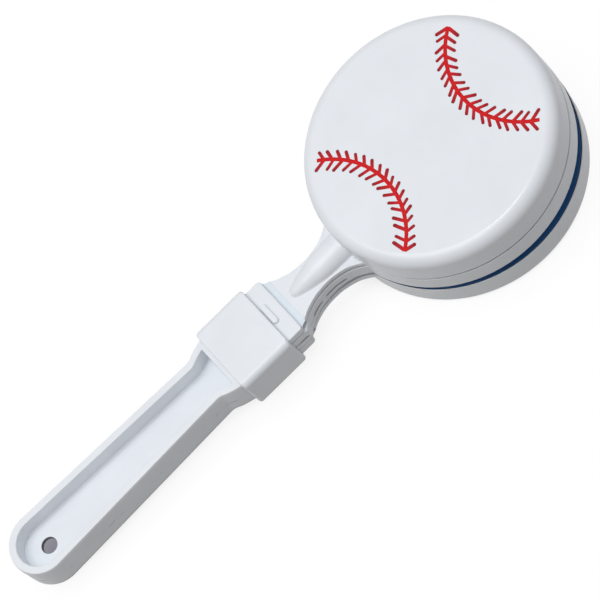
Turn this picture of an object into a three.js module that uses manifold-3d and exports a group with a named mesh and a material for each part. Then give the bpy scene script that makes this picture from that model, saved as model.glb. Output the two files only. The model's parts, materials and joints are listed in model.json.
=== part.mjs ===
// Baseball clapper: a hand noisemaker with a handled paddle between two hinged hollow clappers.
// Millimetres, +Z up. The clapper lies on the flat face of its back clapper, in the plane z = 0,
// with the centre of that face at the origin and the handle along -Y.
import * as THREE from 'three';
import { mergeVertices } from 'three/addons/utils/BufferGeometryUtils.js';
import Module from 'manifold-3d';

const wasm = await Module();
wasm.setup();

// Clearance between pieces that rest on each other or fit into each other
const fitGap = 0.3;

// Round head: two hollow clappers
const headRadius = 43.9;
const shellDepth = 12.4;
const shellDraft = 0.4;
const faceRoundWidth = 4.3;
const faceRoundHeight = 4.3;
const shellWall = 0.6;
const faceWall = 1.8;
const headSegments = 72;

// Inner plate that closes each hollow clapper
const plateThickness = 1.5;
const plateRecess = 0.7;
const plateLedge = 0.9;

// Paddle between the clappers
const paddleThickness = 7.0;
const paddleInset = 0.3;
const paddleRim = 2.4;
const paddleWeb = 1.6;
const paddleRib = 1.6;
const paddleRibDrop = 0.5;

// Neck from the root blocks to the head: half widths at shares of its length
const neckLength = 26.8;
const neckStations = [
  { at: 0.04, halfWidth: 10.9 },
  { at: 0.07, halfWidth: 10.0 },
  { at: 0.13, halfWidth: 8.85 },
  { at: 0.21, halfWidth: 7.75 },
  { at: 0.34, halfWidth: 6.55 },
  { at: 0.48, halfWidth: 5.95 },
  { at: 0.63, halfWidth: 5.9 },
  { at: 0.76, halfWidth: 6.5 },
  { at: 0.87, halfWidth: 7.4 },
  { at: 0.97, halfWidth: 8.9 },
  { at: 1.055, halfWidth: 10.6 },
];
const neckThickness = 5.4;
const neckPlate = 1.8;
const neckPlateDrop = 0.75;

// Gusset on the neck plate, from its blunt nose to the head: half widths at shares of its length
const gussetInset = 2.25;
const gussetHeightShare = 0.78;
const gussetStations = [
  { at: 0.004, halfWidth: 0.6 },
  { at: 0.024, halfWidth: 1.45 },
  { at: 0.063, halfWidth: 2.02 },
  { at: 0.115, halfWidth: 2.47 },
  { at: 0.23, halfWidth: 3.33 },
  { at: 0.37, halfWidth: 4.17 },
  { at: 0.495, halfWidth: 4.82 },
  { at: 0.67, halfWidth: 5.25 },
  { at: 1, halfWidth: 5.5 },
];

// Living hinge strips and how far the back clapper stands open at rest
const hingeLength = 2.2;
const hingeThickness = 0.8;
const hingeHalfWidth = 9.8;
const hingeRise = 0.1;
const backOpening = 2.5;

// Root blocks of the clappers, the tongue between them and its locating pegs
const rootHalfWidth = 12.0;
const rootBlockThickness = 3.0;
const rootLength = 25.7;
const rootCornerRadius = 1.2;
const pegRadius = 2.2;
const pegHeight = 1.8;
const pegOffsetX = 6.0;
const pegInset = 8.4;

// Detent bump that stops the sleeve
const bumpLength = 8.9;
const bumpWidth = 2.4;
const bumpHeight = 0.9;

// Clamping sleeve
const sleeveWall = 1.6;
const sleeveLength = 20.6;
const sleeveInset = 6.2;
const sleeveCornerRadius = 1.6;
const sleeveEdge = 0.5;

// Handle: an H-section bar with a round end and flared shoulders
const handleThickness = 12.3;
const handleLength = 93.8;
const handleEndHalfWidth = 11.2;
const handleNeckHalfWidth = 8.95;
const handleRim = 2.85;
const handleWeb = 1.6;
const webDrop = 0.15;
const troughEndWall = 2.5;
const shoulderLength = 9.5;
const shoulderFlare = [
  { at: 0.12, share: 0.04 },
  { at: 0.21, share: 0.14 },
  { at: 0.33, share: 0.33 },
  { at: 0.50, share: 0.55 },
  { at: 0.68, share: 0.73 },
  { at: 0.85, share: 0.88 },
];
const hangHoleRadius = 2.95;
const hangHoleInset = 11.9;

// Stitching print: two arcs of chevrons on the front face
const printThickness = 0.25;
const printLift = 0.05;
const spineWidth = 1.25;
const stitchWidth = 1.05;
// Each arc's centre lies beyond the face's edge, and its two ends stop short of that edge
const upperSeam = {
  side: 1, offsetX: 0.8, beyond: 7.0, radius: 29.5, apexEdge: 1.4, openEdge: 1.4,
  convex: { count: 19, reach: 3.2, slant: 2.5 },
  concave: { count: 17, reach: 3.6, slant: 2.6 },
};
const lowerSeam = {
  side: -1, offsetX: 0.9, beyond: 9.5, radius: 29.75, apexEdge: 0.6, openEdge: 1.5,
  convex: { count: 18, reach: 2.9, slant: 1.9 },
  concave: { count: 16, reach: 3.9, slant: 2.7 },
};

// Heights that follow from the sizes above, measured from the paddle's middle plane
const halfPaddle = paddleThickness / 2;
const rimZ = halfPaddle + fitGap;
const faceZ = rimZ + shellDepth;
const halfHandle = handleThickness / 2;
const rootTopZ = halfHandle;
const rootBottomZ = rootTopZ - rootBlockThickness;
const halfTongue = rootBottomZ - fitGap;
const hingeZ = rimZ + hingeRise + hingeThickness / 2;
const webTopZ = -webDrop;

// Stations along the length that follow from the sizes above, from the head's centre
const wallTopRadius = headRadius - shellDraft;
const faceRadius = wallTopRadius - faceRoundWidth;
const paddleRadius = headRadius - paddleInset;
const neckRootY = -headRadius - neckLength;
const hingeY = neckRootY + hingeLength / 2;
const neckPlateStartY = neckRootY + hingeLength;
const neckPlateSlope = neckPlateDrop / (-headRadius - neckPlateStartY);
const gussetTipY = neckPlateStartY + gussetInset;
const sleeveTopY = neckRootY - sleeveInset;
const rootBlockStartY = neckRootY - rootLength;
const pegY = rootBlockStartY + pegInset;
const shoulderTopY = rootBlockStartY - fitGap;
const troughTopY = shoulderTopY - troughEndWall;
const handleEndY = shoulderTopY - handleLength;

const whitePlastic = { color: 0xe8ebf0, roughness: 0.35, metalness: 0 };
const navyPlastic = { color: 0x11243e, roughness: 0.45, metalness: 0 };
const redInk = { color: 0xc81c28, roughness: 0.5, metalness: 0 };

// Turns a closed geometry into a solid
function solidOf(geometry) {
  const bare = geometry.index ? geometry.toNonIndexed() : geometry.clone();
  bare.deleteAttribute('normal');
  bare.deleteAttribute('uv');
  const merged = mergeVertices(bare, 1e-4);
  return new wasm.Manifold(new wasm.Mesh({
    numProp: 3,
    vertProperties: new Float32Array(merged.attributes.position.array),
    triVerts: new Uint32Array(merged.index.array),
  }));
}

// Turns a solid back into a named mesh
function meshOf(solid, name, look) {
  const data = solid.getMesh();
  const geometry = new THREE.BufferGeometry();
  geometry.setAttribute('position', new THREE.BufferAttribute(new Float32Array(data.vertProperties), 3));
  geometry.setIndex(new THREE.BufferAttribute(new Uint32Array(data.triVerts), 1));
  geometry.computeVertexNormals();
  const mesh = new THREE.Mesh(geometry, new THREE.MeshStandardMaterial(look));
  mesh.name = name;
  return mesh;
}

// Extrudes an outline of [x, y] points from one height to another
function prism(points, lowZ, highZ) {
  const shape = new THREE.Shape(points.map(([x, y]) => new THREE.Vector2(x, y)));
  const geometry = new THREE.ExtrudeGeometry(shape, { depth: highZ - lowZ, bevelEnabled: false });
  geometry.translate(0, 0, lowZ);
  return solidOf(geometry);
}

// Turns a profile of [radius, height] points about the Z axis
function turned(profile, segments) {
  const geometry = new THREE.LatheGeometry(profile.map(([r, z]) => new THREE.Vector2(r, z)), segments);
  geometry.rotateX(Math.PI / 2);
  return solidOf(geometry);
}

// A round bar along Z
function roundBar(radius, lowZ, highZ, x, y, segments = 32) {
  const geometry = new THREE.CylinderGeometry(radius, radius, highZ - lowZ, segments);
  geometry.rotateX(Math.PI / 2);
  geometry.translate(x, y, (lowZ + highZ) / 2);
  return solidOf(geometry);
}

function box(lowX, highX, lowY, highY, lowZ, highZ) {
  const geometry = new THREE.BoxGeometry(highX - lowX, highY - lowY, highZ - lowZ);
  geometry.translate((lowX + highX) / 2, (lowY + highY) / 2, (lowZ + highZ) / 2);
  return solidOf(geometry);
}

function mirroredOutline(rightSide) {
  const leftSide = rightSide.filter(([x]) => x > 0.001).map(([x, y]) => [-x, y]).reverse();
  return [...rightSide, ...leftSide];
}

function arcPoints(centreX, centreY, radius, fromDeg, toDeg, steps) {
  const points = [];
  for (let i = 0; i <= steps; i += 1) {
    const angle = THREE.MathUtils.degToRad(fromDeg + (toDeg - fromDeg) * (i / steps));
    points.push([centreX + radius * Math.cos(angle), centreY + radius * Math.sin(angle)]);
  }
  return points;
}

// Quarter round from a wall to a face, with its own width and height
function quarterRound(innerX, lowZ, width, height, steps) {
  return arcPoints(0, 0, 1, 0, 90, steps).map(([across, up]) => [innerX + width * across, lowZ + height * up]);
}

// Smooth curve through [x, y] stations
function smoothSide(stations, steps) {
  const curve = new THREE.SplineCurve(stations.map(([x, y]) => new THREE.Vector2(x, y)));
  return curve.getPoints(steps).map((p) => [p.x, p.y]);
}

// Neck outline from a start height to the inside of the head's rim
function neckOutline(startY, innerRadius) {
  const stations = neckStations.map((s) => [s.halfWidth, neckRootY + s.at * neckLength]);
  const side = smoothSide(stations, 28).filter(([x, y]) => y > startY + 0.2 && Math.hypot(x, y) > innerRadius + 0.05);
  const first = side[0];
  const start = [Math.min(rootHalfWidth, first[0] + (first[1] - startY) * 1.1), startY];
  const end = side[side.length - 1];
  const endAngle = THREE.MathUtils.radToDeg(Math.atan2(end[1], end[0]));
  const inside = arcPoints(0, 0, innerRadius, endAngle - 0.5, -90, 10).filter(([x]) => x > 0.01);
  return mirroredOutline([[0, startY], start, ...side, ...inside, [0, -innerRadius]]);
}

// Handle outline, inset by a given width, from the round end up to a top edge
function handleOutline(inset, topY) {
  const endRadius = handleEndHalfWidth - inset;
  const endCentreY = handleEndY + handleEndHalfWidth;
  const round = arcPoints(0, endCentreY, endRadius, -90, 0, 14).filter(([x]) => x > 0.01);
  const flare = rootHalfWidth - handleNeckHalfWidth;
  const gripTopY = shoulderTopY - shoulderLength;
  const stations = [
    [handleNeckHalfWidth, gripTopY],
    ...shoulderFlare.map((s) => [handleNeckHalfWidth + flare * s.share, gripTopY + shoulderLength * s.at]),
    [rootHalfWidth, shoulderTopY],
  ];
  const shoulder = smoothSide(stations, 18).map(([x, y]) => [x - inset, y]).filter(([, y]) => y < topY - 0.3);
  const last = shoulder[shoulder.length - 1];
  return mirroredOutline([
    [0, endCentreY - endRadius], ...round, ...shoulder, [last[0], topY], [0, topY],
  ]);
}

// Paddle and handle: one moulding with a trough on each side of the handle
function handleAndPaddle() {
  let body = prism(handleOutline(0, shoulderTopY), -halfHandle, halfHandle);

  const tongue = box(-rootHalfWidth, rootHalfWidth, shoulderTopY - 1, neckRootY + fitGap + 0.5, -halfTongue, halfTongue);
  const neck = prism(neckOutline(neckRootY + fitGap, paddleRadius - 1), -neckThickness / 2, neckThickness / 2);
  const disc = roundBar(paddleRadius, -halfPaddle, halfPaddle, 0, 0, headSegments);
  body = body.add(tongue).add(neck).add(disc);

  const recessRadius = paddleRadius - paddleRim;
  const upperRecess = roundBar(recessRadius, paddleWeb / 2, halfPaddle + 1, 0, 0, headSegments);
  const lowerRecess = roundBar(recessRadius, -halfPaddle - 1, -paddleWeb / 2, 0, 0, headSegments);
  body = body.subtract(upperRecess).subtract(lowerRecess);
  const ribZ = halfPaddle - paddleRibDrop;
  const ribEnd = recessRadius + paddleRim / 2;
  body = body.add(box(-ribEnd, ribEnd, -paddleRib / 2, paddleRib / 2, -ribZ, ribZ));
  body = body.add(box(-paddleRib / 2, paddleRib / 2, -ribEnd, ribEnd, -ribZ, ribZ));

  const trough = handleOutline(handleRim, troughTopY);
  body = body.subtract(prism(trough, webTopZ, halfHandle + 1));
  body = body.subtract(prism(trough, -halfHandle - 1, webTopZ - handleWeb));
  const holeY = handleEndY + hangHoleInset;
  body = body.subtract(roundBar(hangHoleRadius, webTopZ - handleWeb - 1, webTopZ + 1, 0, holeY));

  for (const x of [-pegOffsetX, pegOffsetX]) {
    body = body.add(roundBar(pegRadius, -halfTongue - pegHeight, halfTongue + pegHeight, x, pegY, 20));
  }
  return body;
}

// Hollow clapper shell with its rounded gusset and its neck plate, which slopes down to the hinge, front side
function clapperShell() {
  const wallTopZ = faceZ - faceRoundHeight;
  const outer = turned([
    [0, rimZ], [headRadius, rimZ],
    ...quarterRound(faceRadius, wallTopZ, wallTopRadius - faceRadius, faceRoundHeight, 6),
    [0, faceZ],
  ], headSegments);

  const neck = prism(neckOutline(neckPlateStartY, headRadius - shellWall / 2), rimZ, rimZ + neckPlate);
  const gussetLength = -headRadius + shellWall - gussetTipY;
  const gussetSide = smoothSide([[0, 0], ...gussetStations.map((s) => [s.halfWidth, s.at * gussetLength])], 18);
  const gussetPlace = new THREE.Matrix4().makeTranslation(0, gussetTipY, rimZ + neckPlate)
    .scale(new THREE.Vector3(1, 1, gussetHeightShare))
    .multiply(new THREE.Matrix4().makeRotationX(-Math.PI / 2));
  const gussetRound = turned([...gussetSide, [0, gussetLength]], 28).transform(gussetPlace.elements);
  const belowPlate = box(-headRadius, headRadius, 2 * gussetTipY, 0, rimZ - headRadius, rimZ + neckPlate / 2);
  const gusset = gussetRound.subtract(belowPlate);
  const slope = new THREE.Matrix4().makeShear(0, 0, 0, neckPlateSlope, 0, 0);
  slope.setPosition(0, 0, neckPlateSlope * headRadius);

  const mouthRadius = headRadius - shellWall;
  const seatZ = rimZ + plateRecess + plateThickness + fitGap;
  const innerRadius = mouthRadius - plateLedge;
  const ceilingZ = faceZ - faceWall;
  const cavity = turned([
    [0, rimZ - 1], [mouthRadius, rimZ - 1], [mouthRadius, seatZ], [innerRadius, seatZ],
    ...quarterRound(faceRadius, wallTopZ, innerRadius - shellDraft - faceRadius, ceilingZ - wallTopZ, 4),
    [0, ceilingZ],
  ], headSegments);
  return outer.add(neck.add(gusset).transform(slope.elements)).subtract(cavity);
}

// Navy plate seated inside the clapper's mouth
function innerPlate() {
  const radius = headRadius - shellWall - fitGap;
  const lowZ = rimZ + plateRecess;
  return roundBar(radius, lowZ, lowZ + plateThickness, 0, 0, headSegments);
}

// Thin strip that bends between the root block and the neck plate
function hingeStrip() {
  const lowY = neckRootY + fitGap;
  const highY = neckPlateStartY - fitGap;
  const lowZ = hingeZ - hingeThickness / 2;
  return box(-hingeHalfWidth, hingeHalfWidth, lowY, highY, lowZ, lowZ + hingeThickness);
}

// Root block with peg holes below and the detent bump on top
function rootBlock() {
  const r = rootCornerRadius;
  const w = rootHalfWidth;
  const outline = mirroredOutline([
    [0, rootBlockStartY], [w, rootBlockStartY],
    ...arcPoints(w - r, neckRootY - r, r, 0, 90, 4), [0, neckRootY],
  ]);
  let block = prism(outline, rootBottomZ, rootTopZ);
  for (const x of [-pegOffsetX, pegOffsetX]) {
    const holeTopZ = halfTongue + pegHeight + fitGap;
    block = block.subtract(roundBar(pegRadius + fitGap, rootBottomZ - 1, holeTopZ, x, pegY, 20));
  }
  const bevel = bumpHeight / 3;
  const halfRun = bumpLength / 2 - bumpWidth / 2;
  const endRadius = bumpWidth / 2 - bevel;
  const shape = new THREE.Shape();
  shape.absarc(halfRun, 0, endRadius, -Math.PI / 2, Math.PI / 2, false);
  shape.absarc(-halfRun, 0, endRadius, Math.PI / 2, Math.PI * 1.5, false);
  const bump = new THREE.ExtrudeGeometry(shape, {
    depth: bumpHeight, bevelEnabled: true, bevelThickness: bevel, bevelSize: bevel, bevelSegments: 2, curveSegments: 6,
  });
  bump.translate(0, sleeveTopY + fitGap + bumpWidth / 2, rootTopZ - bevel);
  return block.add(solidOf(bump));
}

// Rectangular sleeve that clamps both root blocks to the tongue
function clampSleeve() {
  const innerX = rootHalfWidth + fitGap;
  const innerZ = rootTopZ + fitGap;
  const outerX = innerX + sleeveWall - sleeveEdge;
  const outerZ = innerZ + sleeveWall - sleeveEdge;
  const r = sleeveCornerRadius - sleeveEdge;
  const outline = [
    ...arcPoints(outerX - r, outerZ - r, r, 0, 90, 4),
    ...arcPoints(-outerX + r, outerZ - r, r, 90, 180, 4),
    ...arcPoints(-outerX + r, -outerZ + r, r, 180, 270, 4),
    ...arcPoints(outerX - r, -outerZ + r, r, 270, 360, 4),
  ].map(([x, z]) => new THREE.Vector2(x, z));
  const geometry = new THREE.ExtrudeGeometry(new THREE.Shape(outline), {
    depth: sleeveLength - 2 * sleeveEdge,
    bevelEnabled: true, bevelThickness: sleeveEdge, bevelSize: sleeveEdge, bevelSegments: 2,
  });
  geometry.translate(0, 0, sleeveEdge);
  geometry.rotateX(Math.PI / 2);
  geometry.translate(0, sleeveTopY, 0);
  const bore = box(-innerX, innerX, sleeveTopY - sleeveLength - 1, sleeveTopY + 1, -innerZ, innerZ);
  return solidOf(geometry).subtract(bore);
}

// A flat bar with blunt pointed ends between two points of the face
function printedBar(from, to, width) {
  const dx = to[0] - from[0];
  const dy = to[1] - from[1];
  const length = Math.hypot(dx, dy);
  const along = [dx / length, dy / length];
  const across = [-along[1], along[0]];
  const tip = width * 0.25;
  const half = width / 2;
  const at = (s, t) => [from[0] + along[0] * s + across[0] * t, from[1] + along[1] * s + across[1] * t];
  const outline = [
    at(0, -half), at(length, -half), at(length + tip, -tip), at(length + tip, tip),
    at(length, half), at(0, half), at(-tip, tip), at(-tip, -tip),
  ];
  return prism(outline, faceZ + printLift, faceZ + printLift + printThickness);
}

// Angles at which an arc of stitching comes within the given distances of the face's edge
function seamAngles(seam) {
  const centreY = seam.side * (faceRadius + seam.beyond);
  const distance = Math.hypot(seam.offsetX, centreY);
  const inward = Math.atan2(-centreY, -seam.offsetX);
  const halfSpan = (edge) => {
    const reach = faceRadius - edge;
    const cosine = (seam.radius ** 2 + distance ** 2 - reach ** 2) / (2 * seam.radius * distance);
    return Math.acos(Math.min(1, Math.max(-1, cosine)));
  };
  const apexAngle = THREE.MathUtils.radToDeg(inward - halfSpan(seam.apexEdge));
  const openAngle = THREE.MathUtils.radToDeg(inward + halfSpan(seam.openEdge));
  return { centreY, apexAngle, openAngle };
}

// One arc of stitching: a spine with a row of slanting stitches on each side
function stitching(seam) {
  const { centreY, apexAngle, openAngle } = seamAngles(seam);
  const spineSteps = 30;
  const arc = (radius, fromAngle, toAngle, steps) => (
    arcPoints(seam.offsetX, centreY, radius, fromAngle, toAngle, steps)
  );
  const inner = arc(seam.radius - spineWidth / 2, apexAngle, openAngle, spineSteps);
  const outer = arc(seam.radius + spineWidth / 2, apexAngle, openAngle, spineSteps);
  let print = prism([...inner, ...outer.reverse()], faceZ + printLift, faceZ + printLift + printThickness);
  for (const [side, row] of [[1, seam.convex], [-1, seam.concave]]) {
    const slantDeg = THREE.MathUtils.radToDeg(row.slant / seam.radius);
    const step = (openAngle - slantDeg - apexAngle) / (row.count - 1);
    for (let i = 0; i < row.count; i += 1) {
      const rootAngle = apexAngle + step * i;
      const [root] = arc(seam.radius, rootAngle, rootAngle, 1);
      const [tip] = arc(seam.radius + side * row.reach, rootAngle + slantDeg, rootAngle + slantDeg, 1);
      print = print.add(printedBar(root, tip, stitchWidth));
    }
  }
  return print;
}

// Everything that keeps to the paddle's own frame
const paddleFrame = new THREE.Group();
paddleFrame.position.set(0, -hingeY, hingeZ);
paddleFrame.add(meshOf(handleAndPaddle(), 'handle_and_paddle', whitePlastic));
paddleFrame.add(meshOf(clapperShell(), 'front_clapper_shell', whitePlastic));
paddleFrame.add(meshOf(innerPlate(), 'front_inner_plate', navyPlastic));
paddleFrame.add(meshOf(hingeStrip(), 'front_living_hinge', whitePlastic));
paddleFrame.add(meshOf(rootBlock(), 'front_root_block', whitePlastic));
paddleFrame.add(meshOf(clampSleeve(), 'clamp_sleeve', whitePlastic));
paddleFrame.add(meshOf(stitching(upperSeam), 'front_stitching_upper', redInk));
paddleFrame.add(meshOf(stitching(lowerSeam), 'front_stitching_lower', redInk));
const backRoot = meshOf(rootBlock(), 'back_root_block', whitePlastic);
backRoot.rotation.y = Math.PI;
paddleFrame.add(backRoot);

// The back clapper lies flat, and the rest turns about its living hinge by the opening
const opening = THREE.MathUtils.degToRad(backOpening);
const tilted = new THREE.Group();
tilted.position.set(0, hingeY, faceZ - hingeZ);
tilted.rotation.x = opening;
tilted.add(paddleFrame);

const backStrip = meshOf(hingeStrip(), 'back_living_hinge', whitePlastic);
backStrip.rotation.y = Math.PI;
backStrip.position.set(0, -hingeY, hingeZ);
const halfTilted = new THREE.Group();
halfTilted.position.copy(tilted.position);
halfTilted.rotation.x = opening / 2;
halfTilted.add(backStrip);

const backClapper = new THREE.Group();
backClapper.position.set(0, 0, faceZ);
backClapper.rotation.y = Math.PI;
backClapper.add(meshOf(clapperShell(), 'back_clapper_shell', whitePlastic));
backClapper.add(meshOf(innerPlate(), 'back_inner_plate', navyPlastic));

const clapper = new THREE.Group();
clapper.name = 'baseball_clapper';
clapper.add(tilted, halfTilted, backClapper);

export default clapper;
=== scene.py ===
"""Finish of a hand clapper: a handled paddle between two hollow ball halves on living hinges."""

import json
import math

import bpy
from mathutils import Matrix, Vector
from mathutils.geometry import tessellate_polygon


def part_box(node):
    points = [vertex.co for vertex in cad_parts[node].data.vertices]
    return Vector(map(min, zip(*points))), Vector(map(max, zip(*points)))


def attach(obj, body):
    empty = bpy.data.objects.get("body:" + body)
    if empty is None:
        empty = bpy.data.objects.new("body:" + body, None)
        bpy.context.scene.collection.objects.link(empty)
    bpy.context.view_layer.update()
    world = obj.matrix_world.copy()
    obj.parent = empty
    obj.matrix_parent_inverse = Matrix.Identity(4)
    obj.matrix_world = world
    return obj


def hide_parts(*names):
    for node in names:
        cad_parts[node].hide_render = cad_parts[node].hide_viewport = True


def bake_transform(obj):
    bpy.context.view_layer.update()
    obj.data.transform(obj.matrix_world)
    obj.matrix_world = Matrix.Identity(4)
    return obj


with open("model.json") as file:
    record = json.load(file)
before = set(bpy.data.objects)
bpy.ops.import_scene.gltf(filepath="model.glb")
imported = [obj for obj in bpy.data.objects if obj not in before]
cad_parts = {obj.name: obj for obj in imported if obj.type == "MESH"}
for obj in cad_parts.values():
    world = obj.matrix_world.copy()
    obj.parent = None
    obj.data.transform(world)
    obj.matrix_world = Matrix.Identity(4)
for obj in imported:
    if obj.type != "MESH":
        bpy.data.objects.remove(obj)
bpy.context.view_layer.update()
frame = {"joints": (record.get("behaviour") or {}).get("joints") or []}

bl_info = {
    "name": "Baseball Clapper",
    "version": (1, 0, 0),
    "blender": (4, 5, 0),
    "location": "View3D > Sidebar > Clapper",
    "description": "Builds the finished pieces of a baseball hand clapper",
    "category": "Object",
}

MM = 0.001

# Head, measured on the frame. The back clapper's neck stands above its mouth by the neck plate's drop
NECK_PLATE_DROP = 0.75 * MM
SHELL_LOW, SHELL_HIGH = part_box("back_clapper_shell")
MOUTH_Z = SHELL_HIGH.z - NECK_PLATE_DROP
HEAD_RADIUS = SHELL_HIGH.x
SHELL_DEPTH = MOUTH_Z - SHELL_LOW.z
PLATE_LOW, PLATE_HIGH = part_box("back_inner_plate")
PLATE_RADIUS = PLATE_HIGH.x
PLATE_THICKNESS = PLATE_HIGH.z - PLATE_LOW.z
PLATE_RECESS = MOUTH_Z - PLATE_HIGH.z

# Shell section
FIT_GAP = 0.3 * MM
SHELL_DRAFT = 0.4 * MM
FACE_ROUND_WIDTH = 4.3 * MM
FACE_ROUND_HEIGHT = 4.3 * MM
SHELL_WALL = HEAD_RADIUS - PLATE_RADIUS - FIT_GAP
FACE_WALL = 1.8 * MM
PLATE_LEDGE = 0.9 * MM
FACE_RADIUS = HEAD_RADIUS - SHELL_DRAFT - FACE_ROUND_WIDTH
PLATE_EDGE = 0.25 * MM

# Paddle and neck
PADDLE_THICKNESS = 7.0 * MM
PADDLE_INSET = 0.15 * MM
RIM_SETBACK = 0.2 * MM
RIM_LIFT = 0.5 * MM
NECK_STEP = 0.2 * MM
PADDLE_RIM = 2.4 * MM
PADDLE_WEB = 1.6 * MM
PADDLE_RIB = 1.6 * MM
PADDLE_RIB_DROP = 0.5 * MM
NECK_LENGTH = 26.8 * MM
NECK_STATIONS = (
    (10.9 * MM, 0.04), (10.0 * MM, 0.07), (8.85 * MM, 0.13), (7.75 * MM, 0.21), (6.55 * MM, 0.34),
    (5.95 * MM, 0.48), (5.9 * MM, 0.63), (6.5 * MM, 0.76), (7.4 * MM, 0.87), (8.9 * MM, 0.97),
    (10.6 * MM, 1.055),
)
NECK_THICKNESS = 5.4 * MM
NECK_PLATE = 1.8 * MM
GUSSET_INSET = 2.25 * MM
GUSSET_HEIGHT_SHARE = 0.78
GUSSET_STATIONS = (
    (0.6 * MM, 0.004), (1.45 * MM, 0.024), (2.02 * MM, 0.063), (2.47 * MM, 0.115), (3.33 * MM, 0.23),
    (4.17 * MM, 0.37), (4.82 * MM, 0.495), (5.25 * MM, 0.67), (5.5 * MM, 1.0),
)
HINGE_LENGTH = 2.2 * MM
HINGE_THICKNESS = 0.8 * MM
HINGE_THINNING = 0.1 * MM
HINGE_DISH = 0.04 * MM
HINGE_OVERLAP = 0.15 * MM
HINGE_HALF_WIDTH = 9.8 * MM
HINGE_ROOT_HALF_WIDTH = 11.2 * MM
HINGE_RISE = 0.1 * MM

# Root blocks, sleeve and grip
ROOT_HALF_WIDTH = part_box("front_root_block")[1].x
ROOT_BLOCK_THICKNESS = 3.0 * MM
ROOT_LENGTH = 25.7 * MM
ROOT_CORNER_RADIUS = 1.2 * MM
PEG_RADIUS = 2.2 * MM
PEG_HEIGHT = 1.8 * MM
PEG_OFFSET = 6.0 * MM
PEG_INSET = 8.4 * MM
BUMP_LENGTH = 8.9 * MM
BUMP_WIDTH = 2.4 * MM
BUMP_HEIGHT = 0.9 * MM
SLEEVE_HALF_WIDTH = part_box("clamp_sleeve")[1].x
SLEEVE_WALL = SLEEVE_HALF_WIDTH - ROOT_HALF_WIDTH - FIT_GAP
SLEEVE_LENGTH = 20.6 * MM
SLEEVE_INSET = 6.2 * MM
HANDLE_THICKNESS = 12.3 * MM
HANDLE_LENGTH = 93.8 * MM
HANDLE_END_HALF_WIDTH = 11.2 * MM
HANDLE_NECK_HALF_WIDTH = 8.95 * MM
HANDLE_RIM = 2.85 * MM
HANDLE_WEB = 1.6 * MM
WEB_DROP = 0.15 * MM
TROUGH_END_WALL = 2.5 * MM
SHOULDER_LENGTH = 9.5 * MM
SHOULDER_FLARE = (
    (0, 0), (0.12, 0.04), (0.21, 0.14), (0.33, 0.33), (0.50, 0.55), (0.68, 0.73), (0.85, 0.88), (1, 1),
)
HANG_HOLE_RADIUS = 2.75 * MM
HANG_HOLE_INSET = 11.9 * MM

# Broken parting line on the handle's sides, in the paddle's own axes
PARTING_Z = -0.5 * MM
PARTING_WIDTH = 0.16 * MM
PARTING_WANDER = 1.1 * MM
PARTING_STRENGTH = 0.85
PARTING_COLOUR = (0.05, 0.048, 0.045, 1.0)

# Longer streaks on the neck's and the tongue's sides: middle, half length, rise and added width
STREAKS = ((-57.8 * MM, 7.4 * MM), (-74.0 * MM, 2.4 * MM))
STREAK_RISE = 0.3 * MM
STREAK_SPREAD = 2.8

# Painted shade along lower edges, and painted shade that darkens the wall of the hanging hole
SLEEVE_SHADE_RISE = 1.7 * MM
HANDLE_SHADE_RISE = 0.7 * MM
EDGE_SHADE_FADE = 0.7 * MM
EDGE_SHADE_SHARE = 0.55
EDGE_SHADE_COLOUR = (0.16, 0.15, 0.17, 1.0)
BORE_SHADE_COLOUR = (0.01, 0.01, 0.013, 1.0)

# Heights from the paddle's middle plane, and stations along the length from the head's centre
HALF_PADDLE = PADDLE_THICKNESS / 2
RIM_Z = HALF_PADDLE + FIT_GAP
FACE_Z = RIM_Z + SHELL_DEPTH
HALF_HANDLE = HANDLE_THICKNESS / 2
ROOT_BOTTOM_Z = HALF_HANDLE - ROOT_BLOCK_THICKNESS
HALF_TONGUE = ROOT_BOTTOM_Z - FIT_GAP
HALF_SLEEVE = HALF_HANDLE + FIT_GAP + SLEEVE_WALL
UPPER_FLOOR_Z = -WEB_DROP
LOWER_FLOOR_Z = -WEB_DROP - HANDLE_WEB
HINGE_Z = RIM_Z + HINGE_RISE + HINGE_THICKNESS / 2
PADDLE_RADIUS = HEAD_RADIUS - PADDLE_INSET
NECK_ROOT_Y = -HEAD_RADIUS - NECK_LENGTH
HINGE_Y = NECK_ROOT_Y + HINGE_LENGTH / 2
NECK_PLATE_Y = NECK_ROOT_Y + HINGE_LENGTH
NECK_PLATE_SLOPE = NECK_PLATE_DROP / (-HEAD_RADIUS - NECK_PLATE_Y)
SLEEVE_TOP_Y = NECK_ROOT_Y - SLEEVE_INSET
ROOT_BLOCK_Y = NECK_ROOT_Y - ROOT_LENGTH
PEG_Y = ROOT_BLOCK_Y + PEG_INSET
SHOULDER_TOP_Y = ROOT_BLOCK_Y - FIT_GAP
HANDLE_END_Y = SHOULDER_TOP_Y - HANDLE_LENGTH
END_CENTRE_Y = HANDLE_END_Y + HANDLE_END_HALF_WIDTH
HANG_HOLE_Y = HANDLE_END_Y + HANG_HOLE_INSET
GRIP_TOP_Y = SHOULDER_TOP_Y - SHOULDER_LENGTH

# Stitching arcs: side of the face, centre's sideways offset, centre beyond the face's edge, radius,
# and how far the apex and the open end stop short of that edge
UPPER_SEAM = (1, 0.8 * MM, 7.0 * MM, 29.5 * MM, 1.4 * MM, 1.4 * MM)
LOWER_SEAM = (-1, 0.9 * MM, 9.5 * MM, 29.75 * MM, 0.6 * MM, 1.5 * MM)
# Stitches outside and inside each arc: count, length and slant in degrees
UPPER_ROWS = {"Outer": (19, 4.5 * MM, 48.5), "Inner": (17, 4.7 * MM, 58.0)}
LOWER_ROWS = {"Outer": (18, 3.85 * MM, 53.0), "Inner": (16, 5.0 * MM, 60.0)}
# Unevenness of the print: shift along the spine, turn in radians, and how much longer the apex stitch is
STITCH_SHIFT = 0.25 * MM
STITCH_TURN = 0.07
APEX_STITCH_GROWTH = 0.12

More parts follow.
